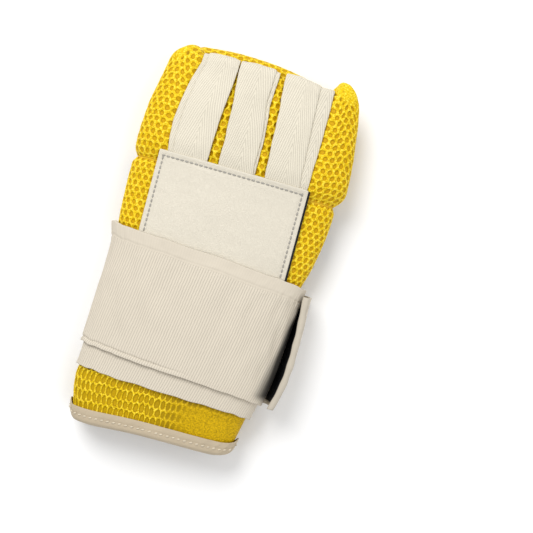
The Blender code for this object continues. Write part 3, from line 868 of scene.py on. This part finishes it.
class GLOVE_OT_padding(bpy.types.Operator):
    """Foam in the knuckle section and behind the back panel, with the linings against the hand"""
    bl_idname = "glove.padding"
    bl_label = "Padding and linings"

    def execute(self, context):
        def foam_face(i, j):
            angle = mix(170, 10, i)
            along = mix(COVER_START + 2, pad_front(angle) - pad_thickness(angle) / 2, j)
            crown = 0.5 * math.sin(math.pi * i) * math.sin(math.pi * j)
            return on_form(angle, along, -2.6 + crown)
        foam = cloth("knuckle_padding", finish("foam"), (40, 18), foam_face)
        thicken(foam, PAD_THICK - 5)
        attach(foam, "bend", ["knuckle_foam"])

        def back_face(i, j):
            angle = mix(168, 12, i)
            return on_form(angle, mix(7, 160, j), -2.2 - 0.3 * (1 - back_fade(angle)))
        sheet = cloth("back_padding", finish("foam"), (40, 40), back_face)
        thicken(sheet, FOAM_THICK * 0.7)
        attach(sheet, "bend", ["back_foam"])

        def lining_face(i, j):
            angle = mix(181, -1, i)
            along = mix(CUFF_START, FLEX_ALONG + 2, j)
            return on_form(angle, along, -MESH_THICK - 0.7 - FOAM_THICK * back_fade(angle))
        lining = cloth("hand_lining", finish("lining"), (44, 48), lining_face)
        thicken(lining, LINING_THICK)
        attach(lining, "bend", ["back_lining"])

        def inner_face(i, j):
            angle = mix(COVER_LOW_LEFT - 1, COVER_LOW_RIGHT + 1, i)
            thick = pad_thickness(angle)
            along = mix(FLEX_ALONG + 0.5, pad_front(angle) - thick / 2 - 3, j)
            return on_form(angle, along, -thick + 1.3)
        inner = cloth("knuckle_lining", finish("lining"), (60, 20), inner_face)
        thicken(inner, 1.1)
        attach(inner, "bend")

        def palm_face(i, j):
            angle = mix(360, 180, i)
            along = mix(CUFF_START, smooth_through(PALM_EDGE, angle) + 2.2, j)
            return on_form(angle, along, -MESH_THICK)
        palm = cloth("palm_lining", finish("lining"), (40, 30), palm_face)
        thicken(palm, 0.7)
        attach(palm, "bend")

        def seam_face(i, j):
            angle = mix(182, -2, i)
            sag = 2.7 - 0.8 * abs(2 * j - 1) ** 2
            return on_form(angle, FLEX_ALONG + mix(-4, 6, j), -sag)
        seam = cloth("flex_seam", finish("yellow_thread"), (60, 8), seam_face)
        thicken(seam, 0.6)
        attach(seam, "bend")
        return {"FINISHED"}


# ---- Patch ----

def on_back(x, along, off):
    """A point off above the back of the hand, in the patch's slightly tilted lie."""
    along = along - PATCH_TILT * (x - PATCH_X[0]) / (PATCH_X[1] - PATCH_X[0])
    return placed(x, along, top_at(x, along) + off)


def patch_lift(x, along):
    """The patch's soft waves and its creases."""
    return 0.3 * ripple(x, along, 28, 5.0) + 0.16 * ripple(x * 0.8, along * 2.4, 11, 8.0)


class GLOVE_OT_back_patch(bpy.types.Operator):
    """Leather patch on the back of the hand with its dark backing and its stitched edge"""
    bl_idname = "glove.back_patch"
    bl_label = "Back patch"

    def execute(self, context):
        stitch_inset = 3.3

        def face(i, j):
            x, along = mix(*PATCH_X, i), mix(*PATCH_ALONG, j)
            inset = min(x - PATCH_X[0], PATCH_X[1] - x, PATCH_ALONG[1] - along)
            pressed = 0.45 * math.exp(-((inset - stitch_inset) / 0.9) ** 2)
            return on_back(x, along, 2.5 - pressed + patch_lift(x, along))
        patch = cloth("leather_patch", finish("leather"), (72, 50), face)
        thicken(patch, 0.95)
        attach(patch, "bend", ["back_patch"])

        def backing_face(i, j):
            x = mix(PATCH_X[0] + 1.0, PATCH_X[1] + 1.1, i)
            return on_back(x, mix(PATCH_ALONG[0], PATCH_ALONG[1] - 0.5, j), 1.5)
        backing = cloth("patch_back_cloth", finish("hook"), (60, 30), backing_face)
        thicken(backing, 0.5, 0)
        attach(backing, "bend", ["patch_backing"])

        left, right = PATCH_X[0] + stitch_inset, PATCH_X[1] - stitch_inset
        low, high = PATCH_ALONG[0] + 4, PATCH_ALONG[1] - stitch_inset

        def raised(x, along):
            return on_back(x, along, 2.3 + patch_lift(x, along))
        runs = [lambda t: raised(left, mix(low, high, t)),
                lambda t: raised(mix(left, right, t), high),
                lambda t: raised(right, mix(high, low, t))]
        stitches("patch_stitches", finish("grey_thread"), runs, length=2.6, gap=0.35, thick=0.62, slant=0.0,
                 body="bend")
        return {"FINISHED"}


# ---- Finger tapes and bar ----

TAPE_FOLD, TAPE_DROP = 0.60, 0.74       # shares of a tape where it starts and ends its front fold


def tape_point(ply, bar, i, j, out):
    """A finger tape from under the patch (0), over the knuckles, round the front and down to the bar (1)."""
    left, right = ply
    turn = front_over(mix(left[-1][1], right[-1][1], i)) - PAD_THICK / 2
    along = mix(TAPE_START, turn, min(j / TAPE_FOLD, 1.0))
    x = mix(smooth_through(left, along), smooth_through(right, along), i)
    x += 0.5 * ripple(along / 7, i * 2, 1.2, left[0][1]) * ease((turn - along) / 12)
    if j < TAPE_FOLD:
        return placed(x, along, top_at(x, along) + out)
    radius = PAD_THICK / 2 + out
    middle = top_at(x, turn) - PAD_THICK / 2
    if j <= TAPE_DROP:
        bend = math.pi / 2 * (TAPE_DROP - j) / (TAPE_DROP - TAPE_FOLD)
        return placed(x, turn + radius * math.cos(bend), middle + radius * math.sin(bend))
    t = (j - TAPE_DROP) / (1 - TAPE_DROP)
    at_bar = mix(*bar, i)
    gather = 0.5 * math.sin(i * math.pi * 5) * ease(t)
    along = mix(turn + radius, smooth_through(BAR_ALONG, at_bar) + 0.4, ease(t)) + gather
    return placed(mix(x, at_bar, ease(t)), along, mix(middle, 2 * BAR_RADIUS + 0.8, t))


class GLOVE_OT_finger_tapes(bpy.types.Operator):
    """Herringbone tapes over the knuckles, each with the lower ply that shows beside it"""
    bl_idname = "glove.finger_tapes"
    bl_label = "Finger tapes"

    def execute(self, context):
        for count, (name, (upper, lower, bar)) in enumerate(TAPES.items()):
            def upper_face(i, j, upper=upper, bar=bar, count=count):
                slack = (1 - ease((j - 0.72) / 0.2)) * ease((j + 0.04) / 0.16)
                droop = 0.3 * ripple(i * 5, j * 9, 1.5, count) + 0.18 * ripple(i * 9, j * 4, 1.0, count + 20)
                rolled = 0.3 * abs(2 * i - 1) ** 12
                crown = 0.75 + 0.55 * (1 - (2 * i - 1) ** 2) - rolled
                fold = 0.55 * math.exp(-((j - TAPE_FOLD) / 0.03) ** 2) * ripple(i * 10, 0, 1.4, count + 40)
                return tape_point(upper, bar, i, j, 1.2 + (crown + fold) * slack + droop)
            tape = cloth(name + "_cloth", finish("tape"), (26, 90), upper_face)
            thicken(tape, 0.7)
            attach(tape, "bend", [name])

            def lower_face(i, j, lower=lower, bar=bar, count=count):
                droop = 0.25 * ripple(i * 3, j * 12, 1.5, count + 60)
                rolled = 0.3 * abs(2 * i - 1) ** 8
                return tape_point(lower, bar, i, j * LOWER_PLY_END, 1.0 + droop - rolled)
            ply = cloth(name + "_lower_ply", finish("tape"), (16, 70), lower_face)
            thicken(ply, 0.5)
            attach(ply, "bend")
        return {"FINISHED"}


def bar_point(t):
    x = mix(BAR_LEFT - 4, BAR_RIGHT, t)
    return placed(x, smooth_through(BAR_ALONG, x), BAR_RADIUS)


class GLOVE_OT_finger_bar(bpy.types.Operator):
    """Foam-filled mesh bar that the fingers close round"""
    bl_idname = "glove.finger_bar"
    bl_label = "Finger bar"

    def execute(self, context):
        def around(i, j, out):
            turn = math.tau * i
            end = min(j, 1 - j)
            radius = (BAR_RADIUS + out) * math.sqrt(max(1 - max(1 - end / 0.05, 0.0) ** 2, 0.002))
            return bar_point(j) + Vector((0, radius * math.cos(turn), radius * math.sin(turn)))

        def rule(i, j, depth):
            return around(i, j, -depth * 0.6)
        cover = net("finger_bar_mesh", finish("net"), 8, 24, rule, close=True)
        attach(cover, KNUCKLES, ["finger_bar_cover"])

        bm = bmesh.new()
        bmesh.ops.create_cone(bm, cap_ends=True, segments=20, radius1=1, radius2=1, depth=1)
        edges = [e for e in bm.edges if abs(e.verts[0].co.z - e.verts[1].co.z) > 0.5]
        bmesh.ops.subdivide_edges(bm, edges=edges, cuts=30)
        for vert in bm.verts:
            turn = math.atan2(vert.co.y, vert.co.x) / math.tau
            vert.co = around(turn, mix(0.02, 0.98, vert.co.z + 0.5), -1.9)
        core = attach(written("finger_bar_foam", bm, finish("foam")), KNUCKLES, ["finger_bar_core"])
        return {"FINISHED"}


# ---- Strap ----

class GLOVE_OT_wrist_strap(bpy.types.Operator):
    """Ribbed elastic wound round the wrist in two turns"""
    bl_idname = "glove.wrist_strap"
    bl_label = "Wrist strap"

    def execute(self, context):
        def face(i, row):
            winding, j = mix(STRAP_SHOWN_TO, STRAP_START, i), smooth_through(STRAP_ROWS, row)
            outer = ease((winding - 400) / 40) * ease((660 - winding) / 40)
            along = smooth_through(STRAP_EDGE, winding) + STRAP_WIDTH * j
            off = STRAP_GAP + STRAP_LAYER * strap_layer(winding) + ELASTIC_THICK
            top, low = (1 - j) * STRAP_WIDTH, j * STRAP_WIDTH
            inside = min(top, low)
            line = 0.45 * math.exp(-((top - SELVEDGE) / 0.7) ** 2)
            folded = ease((winding - 440) / 20) * ease((590 - winding) / 60)
            fold = 0.8 * math.exp(-((low - 2.6) / 0.6) ** 2) * folded
            slack = 0.7 * ripple(winding / 9, along / 16, 1.0, 7.0) * ease(inside / 20)
            kinks = 0.35 * ripple(winding / 3, along / 5, 1.0, 5.0) * math.exp(-((top - SELVEDGE) / 5) ** 2)
            curl = 0.45 * ripple(winding / 5, j, 1.0, 11.0) * (1 - ease(inside / 6)) * outer
            waver = 0.8 * ripple(winding / 12, j * 0.6, 1.0, 2.0)
            lift = slack + kinks + curl - line - fold
            below = math.sin(math.radians(winding)) < -0.2
            return on_form(winding % 360, along + waver, off + (min(lift, 0.0) * 0.3 if below else lift))
        strap = cloth("elastic_strap", finish("strap"), (600, 66), face)
        # painted shade: dark where the strap turns down into the gap under the lifted tail, fading out along
        # and down the strap
        painted_gap_shade = strap.data.attributes.new("painted_gap_shade", "FLOAT", "POINT")
        low, high = PAINTED_GAP_SHADE_ALONG
        for vert, value in zip(strap.data.vertices, painted_gap_shade.data):
            x, y, z = vert.co / MM
            if z > 12 and x > 35:
                along = y + ORIGIN_ALONG
                spread = mix(PAINTED_GAP_SHADE_REACH, 1.5, ease((along - low) / (high - low)))
                edge = on_form(TAIL_END % 360, along, STRAP_GAP + 2 * STRAP_LAYER).x
                shown = ease((high - along) / 10) * ease((along - low + 2) / 5) * ease((z - 14) / 9)
                value.value = 0.9 * ease((x - edge + spread) / spread) * shown
        thicken(strap, ELASTIC_THICK - 0.3, 0)
        attach(strap, HAND, ["wrist_strap"])
        return {"FINISHED"}


def tail_point(winding, j, depth):
    """The tail's surface, depth out from its inner face; before its fold it joins the winding."""
    joined = ease((winding - TAIL_JOIN) / 18)
    along = smooth_through(STRAP_EDGE, winding) + (STRAP_WIDTH - TAIL_TRIM * joined) * j
    room = HOOK_ROOM * ease((winding - TAIL_START) / 14)
    lifted = ease((winding - TAIL_LIFT_START) / TAIL_LIFT_OVER)
    lift = TAIL_LIFT * lifted * smooth_through(TAIL_LIFT_SHARES, j)
    layer = mix(STRAP_LAYER * 1.9, STRAP_LAYER * 2, joined)
    return on_form(winding % 360, along, STRAP_GAP + layer + room + lift + depth)


class GLOVE_OT_strap_tail(bpy.types.Operator):
    """The strap's free end with its hem and its hook tape"""
    bl_idname = "glove.strap_tail"
    bl_label = "Strap tail"

    def execute(self, context):
        def tail_face(i, j):
            winding = mix(TAIL_END + 1.0, TAIL_JOIN, i)
            slack = 0.3 * ripple(winding / 7, j * 5, 1.0, 4.0)
            return tail_point(winding, j, ELASTIC_THICK + 0.2 + slack)
        tail = cloth("elastic_tail", finish("strap"), (90, 36), tail_face)
        thicken(tail, ELASTIC_THICK - 0.2, 0)
        attach(tail, "tail_fold", ["strap_tail"])

        def hem_face(i, j):
            turn = math.tau * i
            wave = 0.35 * ripple(j * 11, 0, 1.0, 6.0)
            reach = TAIL_HEM / 2 + 0.4 + 0.5 * ripple(j * 7, 3, 1.0, 6.0)
            winding = TAIL_END + TAIL_HEM / 2 + reach * math.cos(turn)
            return tail_point(winding, j, ELASTIC_THICK / 2 + (1.9 + wave) * math.sin(turn))
        hem = cloth("tail_hem_fold", finish("hem"), (20, 70), hem_face, close=True)
        cap_ends(hem)
        attach(hem, TAIL, ["tail_hem"])

        def hook_face(i, j):
            winding = mix(TAIL_END - 0.5, HOOK_START, i)
            return tail_point(winding, mix(0.04, 0.96, j), -0.3)
        hook = cloth("hook_tape", finish("hook"), (24, 60), hook_face)
        thicken(hook, 1.0, 0)
        attach(hook, TAIL, ["hook_patch"])
        return {"FINISHED"}


# ---- Bindings ----

class GLOVE_OT_bindings(bpy.types.Operator):
    """Folded binding of the cuff, with its stitch row, and the round bindings of the palm side"""
    bl_idname = "glove.bindings"
    bl_label = "Bindings"

    def execute(self, context):
        def depth_at(angle):
            """Thickness of the layers that the binding wraps."""
            side = ease((math.sin(math.radians(angle)) + 0.25) / 0.2)
            return MESH_THICK + 0.3 + (LINING_THICK + 0.9) * side + FOAM_THICK * back_fade(angle)

        def face(i, j):
            angle = mix(360, 0, i) % 360 if i < 1 else 0.0
            outer, inner = 1.3, -depth_at(angle) - 0.9
            crease = 0.3 * ripple(i * 90 + j * 9, j * 4, 3.0, 8.0)
            crease += 0.2 * ripple(i * 240 + j * 20, j * 3, 3.0, 2.0)
            seam = 0.35 * math.exp(-((j - 0.21) / 0.035) ** 2)
            pucker = crease * ease(min(i, 1 - i) / 0.03) - seam
            if j < BINDING_FOLD_START:
                t = j / BINDING_FOLD_START
                along, off = mix(BINDING_REACH, BINDING_NOSE, t), outer + 0.25 * math.sin(math.pi * t)
            elif j < BINDING_FOLD_END:
                turn = math.pi * (0.5 - (j - BINDING_FOLD_START) / (BINDING_FOLD_END - BINDING_FOLD_START))
                along = BINDING_NOSE - BINDING_ROUND * math.cos(turn)
                off = (outer + inner) / 2 + (outer - inner) / 2 * math.sin(turn)
            else:
                t = (j - BINDING_FOLD_END) / (1 - BINDING_FOLD_END)
                along, off = mix(BINDING_NOSE, BINDING_REACH, t), inner
            return on_form(angle, along + cuff_edge(angle), off + pucker)
        binding = cloth("cuff_binding_cloth", finish("binding"), (300, 24), face, flip=True, close=True)
        thicken(binding, 0.6)
        attach(binding, HAND, ["cuff_binding"])

        def row(t):
            return on_form(360 * t, 5.6 + cuff_edge(360 * t), 1.55)
        stitches("cuff_stitches", finish("pale_thread"), [row], length=2.5, gap=1.2, thick=0.6,
                 slant=math.radians(18), body=HAND)

        self.round_binding("palm_edge_binding", 184, 356,
                           lambda angle: smooth_through(PALM_EDGE, angle) + 3.1, "palm_opening_binding")
        for name, low, node in (("thumb_side_edge", COVER_LOW_RIGHT, "thumb_side_binding"),
                                ("little_finger_side_edge", COVER_LOW_LEFT, "little_finger_side_binding")):
            self.side_binding(name, low, node)
        return {"FINISHED"}

    def tube(self, name, points, node):
        """A soft round binding along the points."""
        count = len(points) - 1

        def face(i, j):
            place = j * count
            low = min(int(place), count - 1)
            here = points[low].lerp(points[low + 1], place - low)
            forward = (points[low + 1] - points[low]).normalized()
            side = forward.cross(Vector((0, 0, 1))).normalized()
            up = side.cross(forward)
            radius = 1.95 + 0.15 * ripple(j * count, 0, 1.5, 3.0)
            return here + (side * math.cos(math.tau * i) + up * math.sin(math.tau * i)) * radius
        obj = cloth(name, finish("edging"), (12, count * 3), face, close=True)
        cap_ends(obj)
        attach(obj, "bend", [node])

    def round_binding(self, name, start, end, edge, node):
        steps = 48
        angles = [mix(start, end, k / steps) for k in range(steps + 1)]
        self.tube(name, [on_form(angle, edge(angle), -MESH_THICK / 2) for angle in angles], node)

    def side_binding(self, name, low, node):
        angle = low + math.copysign(SIDE_BINDING_TURN, low - 90)
        start, end, steps = COVER_START + 1, pad_front(low) - 5, 20
        points = [on_form(angle, mix(start, end, k / steps), -SIDE_THICK / 2) for k in range(steps + 1)]
        self.tube(name, points, node)


# ---- Stage ----

class GLOVE_OT_stage(bpy.types.Operator):
    """Pale floor, soft light and the camera above the glove"""
    bl_idname = "glove.stage"
    bl_label = "Stage"

    def execute(self, context):
        settings = context.scene.glove_stage
        bm = bmesh.new()
        bmesh.ops.create_circle(bm, cap_ends=True, segments=settings.segments, radius=FLOOR_RADIUS)
        bmesh.ops.translate(bm, vec=(0, 0, -0.05), verts=bm.verts)
        material, tree, shader, place, _ = new_material("Pale floor")
        speck = noise_of(tree, place, 4.0)
        tree.links.new(blend_colours(tree, speck, (0.90, 0.90, 0.90), (0.92, 0.92, 0.92)),
                       shader.inputs["Base Color"])
        shader.inputs["Roughness"].default_value = 0.9
        written("floor", bm, material)

        world = bpy.data.worlds.new("Studio")
        world.use_nodes = True
        light = world.node_tree.nodes["Background"]
        light.inputs["Color"].default_value = (1.0, 1.0, 1.0, 1.0)
        light.inputs["Strength"].default_value = 0.62
        context.scene.world = world
        self.soft_light(context, "key", (-0.55, 0.75, 1.15), size=0.9, power=16.0)
        self.soft_light(context, "fill", (0.9, -0.2, 1.2), size=1.4, power=6.0)
        context.scene.view_settings.view_transform = "Standard"

        camera = bpy.data.cameras.new("Camera")
        camera.lens = settings.lens
        camera.sensor_width = 36.0
        obj = bpy.data.objects.new("Camera", camera)
        distance = settings.view_width * MM * settings.lens / camera.sensor_width
        obj.location = placed(*VIEW_CENTRE) * MM + Vector((0, 0, distance))
        obj.rotation_euler = (0.0, 0.0, settings.turn)
        context.scene.collection.objects.link(obj)
        context.scene.camera = obj
        return {"FINISHED"}

    def soft_light(self, context, name, place, size, power):
        light = bpy.data.lights.new(name, "AREA")
        light.shape = "DISK"
        light.size = size
        light.energy = power
        obj = bpy.data.objects.new(name, light)
        obj.location = place
        obj.rotation_euler = (-Vector(place)).to_track_quat("-Z", "Y").to_euler()
        context.scene.collection.objects.link(obj)


OPERATORS = (GLOVE_OT_cuff_net, GLOVE_OT_back_net, GLOVE_OT_palm_net, GLOVE_OT_knuckle_net, GLOVE_OT_padding,
             GLOVE_OT_back_patch, GLOVE_OT_finger_tapes, GLOVE_OT_finger_bar, GLOVE_OT_wrist_strap,
             GLOVE_OT_strap_tail, GLOVE_OT_bindings, GLOVE_OT_stage)


class GLOVE_PT_panel(bpy.types.Panel):
    """Lists the glove's settings and the operators that build it"""
    bl_label = "Training Glove"
    bl_idname = "GLOVE_PT_panel"
    bl_space_type = "VIEW_3D"
    bl_region_type = "UI"
    bl_category = "Glove"

    def draw(self, context):
        layout = self.layout
        for group in (context.scene.glove_net, context.scene.glove_cloth, context.scene.glove_stage):
            box = layout.box()
            for key in group.__annotations__:
                box.prop(group, key)
        for operator in OPERATORS:
            layout.operator(operator.bl_idname)


CLASSES = (NetSettings, ClothSettings, StageSettings, *OPERATORS, GLOVE_PT_panel)


def register():
    for item in CLASSES:
        bpy.utils.register_class(item)
    bpy.types.Scene.glove_net = PointerProperty(type=NetSettings)
    bpy.types.Scene.glove_cloth = PointerProperty(type=ClothSettings)
    bpy.types.Scene.glove_stage = PointerProperty(type=StageSettings)


def unregister():
    del bpy.types.Scene.glove_net
    del bpy.types.Scene.glove_cloth
    del bpy.types.Scene.glove_stage
    for item in reversed(CLASSES):
        bpy.utils.unregister_class(item)


def main():
    register()
    for operator in OPERATORS:
        group, name = operator.bl_idname.split(".")
        getattr(getattr(bpy.ops, group), name)()


if __name__ == "__main__":
    main()
